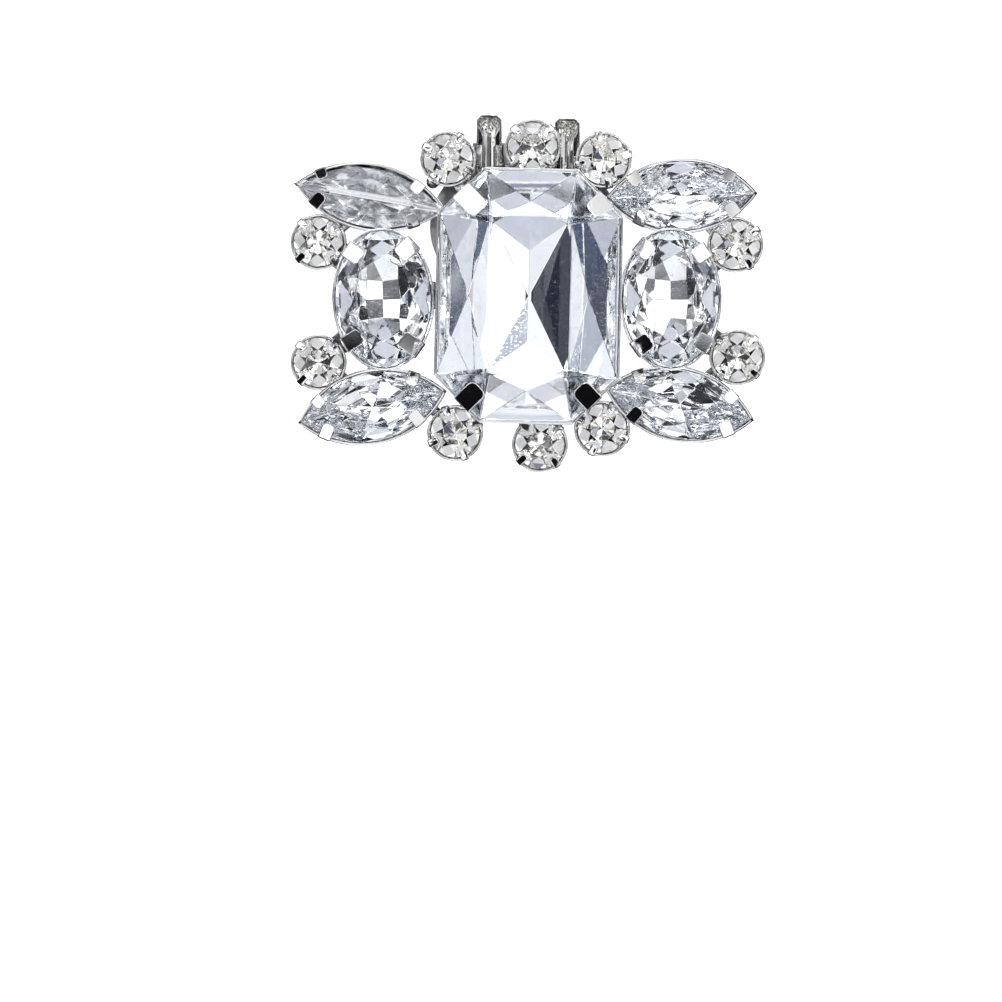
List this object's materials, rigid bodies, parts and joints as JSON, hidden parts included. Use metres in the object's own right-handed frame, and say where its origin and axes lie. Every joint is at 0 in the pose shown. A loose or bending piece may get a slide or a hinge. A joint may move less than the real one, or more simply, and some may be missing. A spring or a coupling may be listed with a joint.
{
  "type": "shoe buckle",
  "caption": "Rhinestone shoe clip: a large octagon stone among oval, pointed, round and baguette stones in claw cups, on a folded metal clip.",
  "frame": {"origin": "on the outer face of the clip's back leaf, below the middle of the octagon stone", "axes": "+X along the ornament's length, +Y towards the clip's fold, +Z out of the stones' tables"},
  "size_m": [0.0477, 0.036, 0.0115],
  "materials": {
    "acrylic_stone": "clear, polished, faceted",
    "glass_stone": "clear, polished, faceted",
    "silver_plate": "bright plated",
    "clip_metal": "dull plated",
    "mirror_foil": "mirror backing of the stones"
  },
  "bodies": {
    "root": {"octagon_stone": "acrylic_stone", "oval_stone_left": "acrylic_stone", "oval_stone_right": "acrylic_stone", "navette_stone_upper_left": "acrylic_stone", "navette_stone_upper_right": "acrylic_stone", "navette_stone_lower_left": "acrylic_stone", "navette_stone_lower_right": "acrylic_stone", "round_stone_top_left": "glass_stone", "round_stone_top_middle": "glass_stone", "round_stone_top_right": "glass_stone", "round_stone_upper_left": "glass_stone", "round_stone_upper_right": "glass_stone", "round_stone_lower_left": "glass_stone", "round_stone_lower_right": "glass_stone", "round_stone_bottom_left": "glass_stone", "round_stone_bottom_middle": "glass_stone", "round_stone_bottom_right": "glass_stone", "baguette_stone_left": "glass_stone", "baguette_stone_right": "glass_stone", "setting_frame": "silver_plate", "shoe_clip": "clip_metal"}
  },
  "joints": []
}
